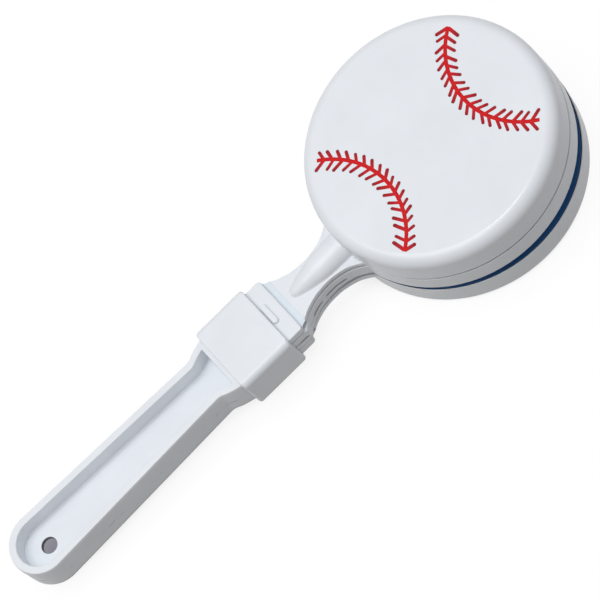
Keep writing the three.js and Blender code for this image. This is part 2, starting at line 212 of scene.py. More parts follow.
# Shade on the floor under the grip, which shows through the hanging hole
GRIP_SHADE_X = -6.2 * MM
GRIP_SHADE_Y = -141.0 * MM
GRIP_SHADE_REACH = 39.0 * MM
GRIP_SHADE_CORE = 2.9 * MM
GRIP_SHADE_EDGE = 8.0 * MM
GRIP_SHADE = 0.3
GRIP_SHADE_COLOUR = (0.94, 0.91, 1.14, 1.0)

# Camera of the photograph
CAMERA_PLACE = (0.62661, -0.06162, 1.06304)
CAMERA_TURN_DEG = (23.431, 20.727, 51.136)
CAMERA_LENS = 228.0


def joint_place(name):
    """Place of a joint in the frame."""
    for joint in frame["joints"]:
        if joint["name"] == name:
            return Vector(joint["pos_m"])
    raise RuntimeError("no joint named " + name)


def paddle_matrix():
    """Turns the paddle's own axes, with the head's centre at the origin, into the frame's axes."""
    back_joint = joint_place("back_clapper_swing")
    across = joint_place("front_clapper_swing") - back_joint
    up = across.normalized()
    forward = up.cross(Vector((1, 0, 0)))
    origin = back_joint + across / 2 - forward * HINGE_Y
    turn = Matrix((Vector((1, 0, 0)), forward, up)).transposed()
    return Matrix.Translation(origin) @ turn.to_4x4()


PADDLE = paddle_matrix()
BACK_ON_PADDLE = PADDLE @ Matrix.Rotation(math.pi, 4, "Y")
BACK_CLAPPER = Matrix.Translation((0, 0, FACE_Z)) @ Matrix.Rotation(math.pi, 4, "Y")
HALF_OPEN = Matrix.Rotation(math.atan2(PADDLE[2][1], PADDLE[1][1]) / 2, 4, "X")


class ClapperSizes(bpy.types.PropertyGroup):
    """Finish sizes that a user would change."""

    edge_round: bpy.props.FloatProperty(
        name="Edge Round", description="Rounding of moulded outer edges",
        default=0.45 * MM, min=0.1 * MM, max=1.0 * MM, unit="LENGTH")
    mouth_round: bpy.props.FloatProperty(
        name="Mouth Round", description="Rounding of the clappers' mouth rims",
        default=0.3 * MM, min=0.1 * MM, max=0.5 * MM, unit="LENGTH")
    gusset_fillet: bpy.props.FloatProperty(
        name="Gusset Fillet", description="Fillet where the gusset meets the neck plate",
        default=0.5 * MM, min=0.05 * MM, max=1.0 * MM, unit="LENGTH")
    stitch_width: bpy.props.FloatProperty(
        name="Stitch Width", description="Width of one printed stitch",
        default=1.12 * MM, min=0.3 * MM, max=2.0 * MM, unit="LENGTH")
    spine_width: bpy.props.FloatProperty(
        name="Spine Width", description="Width of the printed line that the stitches grow from",
        default=1.3 * MM, min=0.3 * MM, max=3.0 * MM, unit="LENGTH")
    stitch_scale: bpy.props.FloatProperty(
        name="Stitch Scale", description="Length of the printed stitches against the photographed ones",
        default=1.0, min=0.5, max=1.5)
    ink_thickness: bpy.props.FloatProperty(
        name="Ink Thickness", description="Height of the printed ink above the face",
        default=0.06 * MM, min=0.01 * MM, max=0.3 * MM, unit="LENGTH")


class ClapperColours(bpy.types.PropertyGroup):
    """Colours that a user would change."""

    white: bpy.props.FloatVectorProperty(
        name="White Plastic", description="Colour of the moulded white plastic",
        default=(0.80, 0.83, 0.87), size=3, min=0, max=1, subtype="COLOR")
    navy: bpy.props.FloatVectorProperty(
        name="Navy Plastic", description="Colour of the inner plates",
        default=(0.020, 0.115, 0.33), size=3, min=0, max=1, subtype="COLOR")
    ink: bpy.props.FloatVectorProperty(
        name="Stitch Ink", description="Colour of the printed stitching",
        default=(0.76, 0.006, 0.010), size=3, min=0, max=1, subtype="COLOR")
    floor: bpy.props.FloatVectorProperty(
        name="Floor", description="Colour of the studio floor",
        default=(0.9, 0.9, 0.9), size=3, min=0, max=1, subtype="COLOR")


def arc_points(centre, radius, start_deg, end_deg, steps):
    """Points of an arc about centre, as (x, y)."""
    points = []
    for step in range(steps + 1):
        angle = math.radians(start_deg + (end_deg - start_deg) * step / steps)
        points.append((centre[0] + radius * math.cos(angle), centre[1] + radius * math.sin(angle)))
    return points


def circle_points(centre, radius, count):
    """Points of a whole circle, as (x, y), counter-clockwise."""
    return arc_points(centre, radius, 0, 360 * (count - 1) / count, count - 1)


def smooth_side(stations, steps):
    """Catmull-Rom curve through (x, y) stations."""
    knots = [Vector(s) for s in stations]
    knots = [knots[0]] + knots + [knots[-1]]
    points = []
    spans = len(stations) - 1
    for step in range(steps + 1):
        place = min(step / steps * spans, spans - 1e-9)
        span = int(place)
        t = place - span
        a, b, c, d = knots[span:span + 4]
        point = b * 2 + (c - a) * t
        point += (a * 2 - b * 5 + c * 4 - d) * t ** 2
        point += (b * 3 - a - c * 3 + d) * t ** 3
        points.append(tuple(point / 2))
    return points


def mirrored(right_side):
    """Closes a right-hand outline, which runs from the lowest to the highest point, with its mirror image."""
    left_side = [(-x, y) for x, y in reversed(right_side) if x > 0.001 * MM]
    return list(right_side) + left_side


def inset(outline, distance):
    """Moves a counter-clockwise outline inwards by a distance, with mitred corners."""
    moved = []
    count = len(outline)
    for i, point in enumerate(outline):
        before = Vector(point) - Vector(outline[i - 1])
        after = Vector(outline[(i + 1) % count]) - Vector(point)
        before = before.normalized()
        after = after.normalized()
        inward = Vector((-before.y - after.y, before.x + after.x))
        moved.append(tuple(Vector(point) + inward * (distance / (1 + before.dot(after)))))
    return moved


def at_height(outline, height):
    return [(x, y, height) for x, y in outline]


def round_steps(radius, steps=5):
    """(inset, rise) pairs of a quarter round from a wall to a face."""
    angles = [math.pi / 2 * step / steps for step in range(steps + 1)]
    return [(radius * (1 - math.cos(a)), radius * math.sin(a)) for a in angles]


def prism_rings(outline, low, high, edge):
    """Rings of an upright solid with rounded upper and lower edges."""
    rings = [at_height(inset(outline, i), low + edge - rise) for i, rise in reversed(round_steps(edge))]
    rings += [at_height(inset(outline, i), high - edge + rise) for i, rise in round_steps(edge)]
    return rings


class Body:
    """Vertices and faces of one piece while it is being built."""

    def __init__(self):
        self.points = []
        self.faces = []

    def add_ring(self, ring):
        start = len(self.points)
        self.points += [tuple(point) for point in ring]
        return list(range(start, start + len(ring)))

    def bridge(self, lower, upper):
        count = len(lower)
        for i in range(count):
            j = (i + 1) % count
            self.faces.append((lower[i], lower[j], upper[j], upper[i]))

    def skin(self, rings, cap_start=True, cap_end=True, closed=False):
        """Joins rings that run from the underside outwards, up and over; gives the first and last ring."""
        rows = [self.add_ring(ring) for ring in rings]
        for lower, upper in zip(rows, rows[1:]):
            self.bridge(lower, upper)
        if closed:
            self.bridge(rows[-1], rows[0])
        elif cap_start:
            self.faces.append(tuple(reversed(rows[0])))
        if cap_end and not closed:
            self.faces.append(tuple(rows[-1]))
        return rows[0], rows[-1]

    def holed_cap(self, outer, holes, upward):
        """Flat face inside ring outer, with holes, each a ring in the same turning sense."""
        loops = [outer] + holes
        order = [index for loop in loops for index in loop]
        for triangle in tessellate_polygon([[Vector(self.points[i]) for i in loop] for loop in loops]):
            a, b, c = (order[i] for i in triangle)
            pa, pb, pc = (Vector(self.points[i]) for i in (a, b, c))
            facing_up = (pb - pa).cross(pc - pa).z > 0
            self.faces.append((a, b, c) if facing_up == upward else (a, c, b))

    def turned(self, profile, segments):
        """Turns a closed (radius, height) profile about the head's axis; radius 0 makes a pole."""
        rows = []
        for radius, height in profile:
            if radius < 1e-9:
                self.points.append((0, 0, height))
                rows.append([len(self.points) - 1] * segments)
            else:
                rows.append(self.add_ring(at_height(circle_points((0, 0), radius, segments), height)))
        for lower, upper in zip(rows, rows[1:] + rows[:1]):
            for i in range(segments):
                j = (i + 1) % segments
                corners = []
                for index in (lower[i], lower[j], upper[j], upper[i]):
                    if index not in corners:
                        corners.append(index)
                if len(corners) > 2:
                    self.faces.append(tuple(corners))

    def piece(self, name, place, material, sharp_deg=38):
        """Finished object: placed in its mesh, smooth-shaded with its flats kept flat."""
        mesh = bpy.data.meshes.new(name)
        mesh.from_pydata([place @ Vector(p) for p in self.points], [], self.faces)
        mesh.validate()
        mesh.materials.append(material)
        piece = bpy.data.objects.new(name, mesh)
        bpy.context.scene.collection.objects.link(piece)
        mesh.shade_smooth()
        mesh.set_sharp_from_angle(angle=math.radians(sharp_deg))
        flats = piece.modifiers.new("Flat faces", "WEIGHTED_NORMAL")
        flats.keep_sharp = True
        flats.weight = 100
        return settle(piece)


def settle(piece):
    """Turns an object with modifiers into a plain mesh."""
    bpy.context.view_layer.update()
    graph = bpy.context.evaluated_depsgraph_get()
    mesh = bpy.data.meshes.new_from_object(
        piece.evaluated_get(graph), preserve_all_data_layers=True, depsgraph=graph)
    mesh.name = piece.name
    piece.modifiers.clear()
    piece.data = mesh
    return piece


def finish(piece, body, slot, *nodes):
    """Lets a piece ride on its body, in the place of its CAD nodes."""
    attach(piece, body)
    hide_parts(*nodes)
    return piece


def new_node(tree, kind, inputs=None, **settings):
    """Adds a node with its settings, and links or sets its inputs by name or number."""
    node = tree.nodes.new(kind)
    for key, value in settings.items():
        setattr(node, key, value)
    for key, value in (inputs or {}).items():
        if isinstance(value, bpy.types.NodeSocket):
            tree.links.new(value, node.inputs[key])
        else:
            node.inputs[key].default_value = value
    return node


def new_material(name):
    """Empty node material with its output, and its object coordinates."""
    material = bpy.data.materials.new(name)
    material.use_nodes = True
    tree = material.node_tree
    tree.nodes.clear()
    output = new_node(tree, "ShaderNodeOutputMaterial")
    coordinates = new_node(tree, "ShaderNodeTexCoord").outputs["Object"]
    return material, tree, output, coordinates


def shade_of(colour, *factors):
    """Colour times one factor, or times one for each channel, with its alpha."""
    if len(factors) == 1:
        factors = factors * 3
    return tuple(channel * factor for channel, factor in zip(colour, factors)) + (1.0,)


def math_node(tree, operation, *values):
    """Result of a Math node on numbers or sockets."""
    return new_node(tree, "ShaderNodeMath", dict(enumerate(values)), operation=operation).outputs[0]


def vector_math(tree, operation, *values, scale=None):
    """Result of a Vector Math node on vectors or sockets."""
    inputs = dict(enumerate(values))
    if scale is not None:
        inputs["Scale"] = scale
    node = new_node(tree, "ShaderNodeVectorMath", inputs, operation=operation)
    return node.outputs["Value" if operation == "LENGTH" else "Vector"]


def fade(tree, value, start, end, at_start, at_end, interpolation="LINEAR"):
    """Goes from one tone to another as a value goes from start to end."""
    return new_node(tree, "ShaderNodeMapRange", {
        "Value": value, "From Min": start, "From Max": end, "To Min": at_start, "To Max": at_end},
        interpolation_type=interpolation).outputs["Result"]


def noise(tree, place, scale, detail, roughness=0.5):
    return new_node(tree, "ShaderNodeTexNoise", {
        "Vector": place, "Scale": scale, "Detail": detail, "Roughness": roughness}).outputs["Fac"]


def blend_colour(tree, share, first, second):
    return new_node(tree, "ShaderNodeMix", {0: share, 6: first, 7: second}, data_type="RGBA").outputs[2]


def colour_ramp(tree, value, stops):
    """Colour that runs through (position, colour) stops."""
    node = new_node(tree, "ShaderNodeValToRGB", {"Fac": value})
    elements = node.color_ramp.elements
    for index, (position, colour) in enumerate(stops):
        if index < 2:
            elements[index].position = position
            elements[index].color = colour
        else:
            elements.new(position).color = colour
    return node.outputs["Color"]


def coordinate_parts(tree, place):
    return new_node(tree, "ShaderNodeSeparateXYZ", {"Vector": place}).outputs


def painted_edge_shade(tree, place, surface, edge_z):
    """Painted shade: a darker line along a lower edge, at a height of the paddle's own axes."""
    share = fade(tree, coordinate_parts(tree, place)["Z"], edge_z, edge_z + EDGE_SHADE_FADE, EDGE_SHADE_SHARE, 0.0)
    return blend_colour(tree, share, surface, EDGE_SHADE_COLOUR)


def moulded_plastic(name, colour, roughness, coat, edge_z=None, parted=False):
    """Moulded plastic: faint colour drift, scuffs and fine texture, with painted shade along a lower edge,
    and parting marks with a painted dark hanging hole, if asked.
    """
    material, tree, output, coordinates = new_material(name)
    drift = noise(tree, coordinates, 45.0, 3.0, 0.55)
    surface = colour_ramp(tree, drift, ((0.3, shade_of(colour, 0.97)), (0.7, shade_of(colour, 1.02))))

    stretch = new_node(tree, "ShaderNodeMapping", {
        "Vector": coordinates, "Rotation": (0.3, 0.2, 0.7), "Scale": (260.0, 28.0, 120.0)})
    scuffs = noise(tree, stretch.outputs["Vector"], 1.0, 5.0, 0.7)
    rough = fade(tree, scuffs, 0.35, 0.75, roughness, roughness + 0.09)
    bump = new_node(tree, "ShaderNodeBump", {
        "Height": noise(tree, coordinates, 2600.0, 2.0), "Strength": 0.25, "Distance": 0.02 * MM})
    normal = bump.outputs["Normal"]

    if edge_z is not None:
        to_paddle = PADDLE.inverted()
        place = new_node(tree, "ShaderNodeMapping", {
            "Vector": coordinates, "Location": tuple(to_paddle.translation),
            "Rotation": tuple(to_paddle.to_euler())}).outputs["Vector"]
        # Painted shade: the colour darkens towards the lower edge
        surface = painted_edge_shade(tree, place, surface, edge_z)
        if parted:
            surface, normal = parting_marks(tree, place, surface, normal)
    shader = new_node(tree, "ShaderNodeBsdfPrincipled", {
        "Base Color": surface, "Roughness": rough, "Normal": normal,
        "IOR": 1.49, "Coat Weight": coat, "Coat Roughness": 0.13})
    tree.links.new(shader.outputs["BSDF"], output.inputs["Surface"])
    return material


def parting_marks(tree, place, surface, normal):
    """Broken dark line where the mould parted, streaks on the neck and tongue, and painted shade that darkens
    the hanging hole's wall.
    """
    parts = coordinate_parts(tree, place)
    zones = []
    for middle, reach in STREAKS:
        along = math_node(tree, "ABSOLUTE", math_node(tree, "ADD", parts["Y"], -middle))
        zones.append(fade(tree, along, reach, reach + 1 * MM, 1.0, 0.0))
    in_streak = math_node(tree, "MAXIMUM", *zones)

    wander = math_node(tree, "MULTIPLY", noise(tree, place, 160.0, 1.0), PARTING_WANDER)
    centre = math_node(tree, "ADD", wander, PARTING_Z - PARTING_WANDER / 2)
    centre = math_node(tree, "MULTIPLY_ADD", in_streak, STREAK_RISE, centre)
    distance = math_node(tree, "ABSOLUTE", math_node(tree, "SUBTRACT", parts["Z"], centre))
    spread = math_node(tree, "MULTIPLY_ADD", in_streak, STREAK_SPREAD, 1.0)
    distance = math_node(tree, "DIVIDE", distance, spread)
    line = fade(tree, distance, PARTING_WIDTH * 0.4, PARTING_WIDTH, 1.0, 0.0)

    breaks = noise(tree, place, 110.0, 3.0, 0.7)
    broken = fade(tree, breaks, 0.52, 0.60, 0.0, PARTING_STRENGTH)
    streaked = math_node(tree, "MULTIPLY", fade(tree, breaks, 0.34, 0.42, 0.0, PARTING_STRENGTH), in_streak)
    shown = math_node(tree, "MAXIMUM", broken, streaked)

    facing = coordinate_parts(tree, new_node(tree, "ShaderNodeNewGeometry").outputs["Normal"])
    upright = math_node(tree, "LESS_THAN", math_node(tree, "ABSOLUTE", facing["Z"]), 0.3)
    below_head = math_node(tree, "LESS_THAN", parts["Y"], -HEAD_RADIUS)
    walls = math_node(tree, "MULTIPLY", upright, below_head)
    mask = math_node(tree, "MULTIPLY", math_node(tree, "MULTIPLY", line, walls), shown)

    # Painted shade: the hanging hole's wall is darkened to near black
    from_hole = vector_math(tree, "ADD", place, (0.0, -HANG_HOLE_Y, 0.0))
    radius = vector_math(tree, "LENGTH", vector_math(tree, "MULTIPLY", from_hole, (1.0, 1.0, 0.0)))
    bore = fade(tree, radius, HANG_HOLE_RADIUS + 0.05 * MM, HANG_HOLE_RADIUS + 0.2 * MM, 0.97, 0.0)
    surface = blend_colour(tree, bore, surface, BORE_SHADE_COLOUR)
    surface = blend_colour(tree, mask, surface, PARTING_COLOUR)
    ridge = new_node(tree, "ShaderNodeBump", {
        "Height": mask, "Normal": normal, "Strength": 0.4, "Distance": 0.1 * MM}, invert=True)
    return surface, ridge.outputs["Normal"]


def stitch_ink(name, colour):
    """Printed ink: full colour on the spine, a little deeper towards the stitches' tips."""
    material, tree, output, coordinates = new_material(name)
    reach = new_node(tree, "ShaderNodeAttribute", attribute_name="reach")
    tint = colour_ramp(tree, reach.outputs["Fac"], (
        (0.14, shade_of(colour, 0.86)), (0.95, shade_of(colour, 0.4, 0.9, 1.3)),
        (0.42, shade_of(colour, 0.66, 1.1, 1.5))))
    grain = noise(tree, coordinates, 1400.0, 3.0, 0.6)
    mottle = fade(tree, grain, 0.3, 0.7, 0.9, 1.08)
    bump = new_node(tree, "ShaderNodeBump", {"Height": grain, "Strength": 0.3, "Distance": 0.02 * MM})
    shader = new_node(tree, "ShaderNodeBsdfPrincipled", {
        "Base Color": vector_math(tree, "SCALE", tint, scale=mottle), "Roughness": 0.5,
        "Normal": bump.outputs["Normal"], "Specular IOR Level": 0.2})
    tree.links.new(shader.outputs["BSDF"], output.inputs["Surface"])
    return material


def studio_floor_look(name, colour):
    """Pale floor: near white to the camera, darker to the object, and with the object's shadow kept."""
    material, tree, output, coordinates = new_material(name)
    tint = fade(tree, noise(tree, coordinates, 30.0, 2.0), 0.0, 1.0, 0.995, 1.005)
    path = new_node(tree, "ShaderNodeLightPath").outputs
    seen = math_node(tree, "MAXIMUM", path["Is Camera Ray"], path["Is Glossy Ray"])
    seen = math_node(tree, "MAXIMUM", seen, path["Is Transmission Ray"])
    shade = math_node(tree, "MULTIPLY", fade(tree, seen, 0.0, 1.0, 0.2, 1.0), tint)
    diffuse = new_node(tree, "ShaderNodeBsdfDiffuse", {
        "Color": vector_math(tree, "SCALE", colour, scale=shade)})

    contact = new_node(tree, "ShaderNodeAmbientOcclusion", {"Distance": 50 * MM}, samples=16)
    open_sky = fade(tree, contact.outputs["AO"], 0.12, 0.38, 0.75, 1.03)
    place = coordinate_parts(tree, coordinates)
    sideways = math_node(tree, "SUBTRACT", place["X"], GRIP_SHADE_X)
    along = math_node(tree, "ABSOLUTE", math_node(tree, "SUBTRACT", place["Y"], GRIP_SHADE_Y))
    beyond = math_node(tree, "MAXIMUM", math_node(tree, "SUBTRACT", along, GRIP_SHADE_REACH), 0.0)
    offset = new_node(tree, "ShaderNodeCombineXYZ", {"X": sideways, "Y": beyond}).outputs[0]
    grip_shade = fade(tree, vector_math(tree, "LENGTH", offset), GRIP_SHADE_CORE, GRIP_SHADE_EDGE,
                      GRIP_SHADE, 1.0, "SMOOTHSTEP")
    glow = new_node(tree, "ShaderNodeEmission", {
        "Color": blend_colour(tree, grip_shade, GRIP_SHADE_COLOUR, (1.0, 1.0, 1.0, 1.0)),
        "Strength": math_node(tree, "MULTIPLY", open_sky, grip_shade)})
    mix = new_node(tree, "ShaderNodeMixShader", {
        0: math_node(tree, "MULTIPLY", seen, 0.9), 1: diffuse.outputs[0], 2: glow.outputs[0]})
    tree.links.new(mix.outputs[0], output.inputs["Surface"])
    return material


def looks():
    """The materials, made once."""
    colours = bpy.context.scene.clapper_colours
    white = tuple(colours.white)
    if "White plastic" not in bpy.data.materials:
        # Painted shade: the hinge strips get a darker, bluish copy of the white, for the shade in their
        # recess
        thin = shade_of(white, 0.91, 0.96, 0.98)[:3]
        # Heights below which the painted shade along the lower edges is strongest
        sleeve_edge = SLEEVE_SHADE_RISE - HALF_SLEEVE
        handle_edge = HANDLE_SHADE_RISE - HALF_HANDLE
        moulded_plastic("White plastic", white, 0.40, 0.25)
        moulded_plastic("White plastic, shaded hinge", thin, 0.40, 0.25)
        moulded_plastic("White plastic, sleeve", white, 0.40, 0.25, sleeve_edge)
        moulded_plastic("White plastic, handle", white, 0.40, 0.2, handle_edge, parted=True)
        moulded_plastic("Navy plastic", tuple(colours.navy), 0.36, 0.15)
        stitch_ink("Stitch ink", tuple(colours.ink))
    return bpy.data.materials


def neck_outline(start_y, inner_radius):
    """Outline of the neck from a start height to an arc inside the head's rim."""
    side = smooth_side([(x, NECK_ROOT_Y + share * NECK_LENGTH) for x, share in NECK_STATIONS], 60)
    side = [point for point in side if point[1] > start_y + 0.2 * MM]
    first = side[0]
    start_x = min(ROOT_HALF_WIDTH, first[0] + (first[1] - start_y) * 1.1)
    end_deg = math.degrees(math.atan2(side[-1][1], side[-1][0]))
    inside = arc_points((0, 0), inner_radius, end_deg + 1, -90, 12)[:-1]
    return mirrored([(0, start_y), (start_x, start_y)] + side + inside + [(0, -inner_radius)])


def shell_profile(mouth_round):
    """(radius, height) profile of a clapper shell, from the inner pole round the rim to the face's pole."""
    wall_top_z = FACE_Z - FACE_ROUND_HEIGHT
    wall_top_radius = HEAD_RADIUS - SHELL_DRAFT
    mouth_radius = HEAD_RADIUS - SHELL_WALL
    seat_z = RIM_Z + PLATE_RECESS + PLATE_THICKNESS + FIT_GAP
    inner_radius = mouth_radius - PLATE_LEDGE
    ceiling_z = FACE_Z - FACE_WALL
    inner_width = inner_radius - SHELL_DRAFT - FACE_RADIUS
    inside = [(0, ceiling_z), (FACE_RADIUS * 0.5, ceiling_z)]
    inside += [(FACE_RADIUS + inner_width * x, wall_top_z + (ceiling_z - wall_top_z) * z)
               for x, z in arc_points((0, 0), 1, 90, 0, 6)]
    mouth = [(inner_radius, seat_z), (mouth_radius, seat_z)]
    rim_centre_z = RIM_Z + RIM_LIFT + mouth_round
    mouth += [(mouth_radius + i, rim_centre_z - rise) for i, rise in round_steps(mouth_round, 4)]
    rim = [(HEAD_RADIUS - RIM_SETBACK - i, rim_centre_z - rise)
           for i, rise in reversed(round_steps(mouth_round, 4))]
    outside = [(FACE_RADIUS + (wall_top_radius - FACE_RADIUS) * x, wall_top_z + FACE_ROUND_HEIGHT * z)
               for x, z in arc_points((0, 0), 1, 0, 90, 36)]
    face = [(FACE_RADIUS * share, FACE_Z) for share in (0.97, 0.6, 0)]
    return inside + mouth + rim + outside + face


def gusset_rings(fillet):
    """Gusset that stiffens the neck: an arch at each station, from its blunt nose into the shell's wall."""
    tip_y = NECK_PLATE_Y + GUSSET_INSET
    length = -HEAD_RADIUS + SHELL_WALL - tip_y
    base_z = RIM_Z + NECK_PLATE
    side = [(0.1 * MM, tip_y)] + [(width, tip_y + share * length) for width, share in GUSSET_STATIONS]
    rings = []
    for radius, y in smooth_side(side, 48):
        foot = min(fillet, radius * 0.5)
        arch = [(radius + foot, -0.6 * MM), (radius + foot, 0)]
        arch += [(radius + foot - foot * math.sin(a), foot - foot * math.cos(a))
                 for a in (math.pi / 8, math.pi / 4, math.pi * 3 / 8)]
        start = math.degrees(math.asin(min(1, foot / radius)))
        arch += [(x, z * GUSSET_HEIGHT_SHARE) for x, z in arc_points((0, 0), radius, start, 90, 14)]
        arch += [(-x, z) for x, z in reversed(arch[:-1])]
        rings.append([(x, y, base_z + z) for x, z in reversed(arch)])
    return rings


def sloped(rings):
    """The neck's slope from the head down to the hinge."""
    return [[(x, y, z + NECK_PLATE_SLOPE * (y + HEAD_RADIUS)) for x, y, z in ring] for ring in rings]


def clapper_body(sizes):
    """Shell, neck plate and gusset of one clapper in the paddle's axes."""
    body = Body()
    body.turned(shell_profile(sizes.mouth_round), 256)
    outline = neck_outline(NECK_PLATE_Y, HEAD_RADIUS - SHELL_WALL / 2)
    body.skin(sloped(prism_rings(outline, RIM_Z, RIM_Z + NECK_PLATE, 0.3 * MM)))
    body.skin(sloped(gusset_rings(sizes.gusset_fillet)))
    return body


class CLAPPER_OT_shells(bpy.types.Operator):
    """Both hollow clappers with their neck plates and gussets"""

    bl_idname = "clapper.shells"
    bl_label = "Clapper Shells"

    def execute(self, context):
        white = looks()["White plastic"]
        body = clapper_body(context.scene.clapper_sizes)
        for side, place in (("front", PADDLE), ("back", BACK_CLAPPER)):
            piece = body.piece(side + "_clapper_moulding", place, white)
            finish(piece, side + "_clapper", "white_plastic", side + "_clapper_shell")
        return {"FINISHED"}


class CLAPPER_OT_plates(bpy.types.Operator):
    """Navy plates that close the clappers' mouths"""

    bl_idname = "clapper.plates"
    bl_label = "Inner Plates"

    def execute(self, context):
        low = RIM_Z + PLATE_RECESS
        high = low + PLATE_THICKNESS
        edge = round_steps(PLATE_EDGE, 4)
        profile = [(0, low), (PLATE_RADIUS * 0.6, low), (PLATE_RADIUS * 0.97, low)]
        profile += [(PLATE_RADIUS - i, low + PLATE_EDGE - rise) for i, rise in reversed(edge)]
        profile += [(PLATE_RADIUS - i, high - PLATE_EDGE + rise) for i, rise in edge]
        profile += [(PLATE_RADIUS * 0.97, high), (PLATE_RADIUS * 0.6, high), (0, high)]
        body = Body()
        body.turned(profile, 160)
        navy = looks()["Navy plastic"]
        for side, place in (("front", PADDLE), ("back", BACK_CLAPPER)):
            piece = body.piece(side + "_navy_plate", place, navy)
            finish(piece, side + "_clapper", "navy_plastic", side + "_inner_plate")
        return {"FINISHED"}


def grip_half_width(y):
    """Half width of the grip between its round end and its shoulders."""
    if y < GRIP_TOP_Y:
        share = (y - END_CENTRE_Y) / (GRIP_TOP_Y - END_CENTRE_Y)
        return HANDLE_END_HALF_WIDTH + (HANDLE_NECK_HALF_WIDTH - HANDLE_END_HALF_WIDTH) * share
    place = min(1, (y - GRIP_TOP_Y) / SHOULDER_LENGTH)
    side = smooth_side(SHOULDER_FLARE, 48)
    for (low, share), (high, next_share) in zip(side, side[1:]):
        if place <= high:
            share += (next_share - share) * (place - low) / (high - low)
            break
    return HANDLE_NECK_HALF_WIDTH + (ROOT_HALF_WIDTH - HANDLE_NECK_HALF_WIDTH) * share


def grip_outline(depth, top_y):
    """Outline of the grip drawn in by a depth, up to a top edge, always with the same number of points."""
    end_radius = HANDLE_END_HALF_WIDTH - depth
    outline = arc_points((0, END_CENTRE_Y), end_radius, -90, 0, 28)
    run = GRIP_TOP_Y - END_CENTRE_Y
    for step in range(1, 13):
        y = END_CENTRE_Y + run * step / 12
        outline.append((grip_half_width(y) - depth, y))
    for step in range(1, 25):
        y = GRIP_TOP_Y + (top_y - GRIP_TOP_Y) * step / 24
        outline.append((grip_half_width(y) - depth, y))
    outline[0] = (0, END_CENTRE_Y - end_radius)
    return mirrored(outline)


def grip_rings(edge):
    """Rings of the H-section grip, from its lower trough over both rims into the upper trough."""
    trough_top = SHOULDER_TOP_Y - TROUGH_END_WALL
    lip = edge * 0.8
    foot = 0.2 * MM

    def trough(depth, height):
        return at_height(grip_outline(HANDLE_RIM + depth, trough_top - depth), height)

    def outside(depth, height):
        return at_height(grip_outline(depth, SHOULDER_TOP_Y - depth), height)

    inner_foot = round_steps(foot)
    inner_lip = round_steps(lip)
    side_round = edge * 4.5
    outer_edge = [(i, rise * side_round / edge) for i, rise in round_steps(edge, 8)]
    rings = [trough(i, LOWER_FLOOR_Z - foot + rise) for i, rise in reversed(inner_foot)]
    rings += [trough(-i, -HALF_HANDLE + lip - rise) for i, rise in inner_lip]
    rings += [outside(i, -HALF_HANDLE + side_round - rise) for i, rise in reversed(outer_edge)]
    rings += [outside(i, HALF_HANDLE - side_round + rise) for i, rise in outer_edge]
    rings += [trough(-i, HALF_HANDLE - lip + rise) for i, rise in reversed(inner_lip)]
    rings += [trough(i, UPPER_FLOOR_Z + foot - rise) for i, rise in inner_foot]
    return rings


def add_grip(body, edge):
    """H-section grip with its hanging hole."""
    first, last = body.skin(grip_rings(edge), cap_start=False, cap_end=False)
    lip = 0.14 * MM
    centre = (0, HANG_HOLE_Y)
    bore = [at_height(circle_points(centre, HANG_HOLE_RADIUS + i, 48), UPPER_FLOOR_Z - lip + rise)
            for i, rise in reversed(round_steps(lip, 4))]
    bore += [at_height(circle_points(centre, HANG_HOLE_RADIUS + i, 48), LOWER_FLOOR_Z + lip - rise)
             for i, rise in round_steps(lip, 4)]
    upper_ring, lower_ring = body.skin(bore, cap_start=False, cap_end=False)
    body.holed_cap(last, [upper_ring], upward=True)
    body.holed_cap(first, [lower_ring], upward=False)


def add_paddle(body):
    """Tongue, neck, round paddle with its web and ribs, and the tongue's locating pegs."""
    edge = 0.3 * MM
    low_y = SHOULDER_TOP_Y - 1 * MM
    high_y = NECK_ROOT_Y + FIT_GAP
    tongue = [(-ROOT_HALF_WIDTH, low_y), (ROOT_HALF_WIDTH, low_y),
              (ROOT_HALF_WIDTH, high_y), (-ROOT_HALF_WIDTH, high_y)]
    body.skin(prism_rings(tongue, -HALF_TONGUE, HALF_TONGUE, 0.15 * MM))
    neck = inset(neck_outline(NECK_ROOT_Y + FIT_GAP, PADDLE_RADIUS - 1 * MM), -NECK_STEP)
    body.skin(prism_rings(neck, -NECK_THICKNESS / 2, NECK_THICKNESS / 2, edge))
    recess = PADDLE_RADIUS - PADDLE_RIM
    web = PADDLE_WEB / 2
    upper = [(recess * 0.97, web), (recess, web)]
    upper += [(recess + i, HALF_PADDLE - edge + rise) for i, rise in round_steps(edge, 4)]
    upper += [(PADDLE_RADIUS - i, HALF_PADDLE - edge + rise) for i, rise in reversed(round_steps(edge, 4))]
    lower = [(radius, -z) for radius, z in upper]
    body.turned([(0, -web)] + lower + upper[::-1] + [(0, web)], 192)
    rib_z = HALF_PADDLE - PADDLE_RIB_DROP
    rib_end = recess + PADDLE_RIM / 2
    half = PADDLE_RIB / 2
    along = [(-half, -rib_end), (half, -rib_end), (half, rib_end), (-half, rib_end)]
    across = [(-rib_end, -half), (rib_end, -half), (rib_end, half), (-rib_end, half)]
    for rib in (along, across):
        body.skin(prism_rings(rib, -rib_z, rib_z, 0.25 * MM))
    for x in (-PEG_OFFSET, PEG_OFFSET):
        peg = circle_points((x, PEG_Y), PEG_RADIUS, 32)
        body.skin(prism_rings(peg, -HALF_TONGUE - PEG_HEIGHT, HALF_TONGUE + PEG_HEIGHT, 0.3 * MM))


class CLAPPER_OT_handle(bpy.types.Operator):
    """Grip, tongue, neck and paddle"""

    bl_idname = "clapper.handle"
    bl_label = "Handle and Paddle"

    def execute(self, context):
        body = Body()
        add_grip(body, context.scene.clapper_sizes.edge_round)
        add_paddle(body)
        piece = body.piece("handle_moulding", PADDLE, looks()["White plastic, handle"])
        finish(piece, "handle", "white_plastic", "handle_and_paddle")
        return {"FINISHED"}


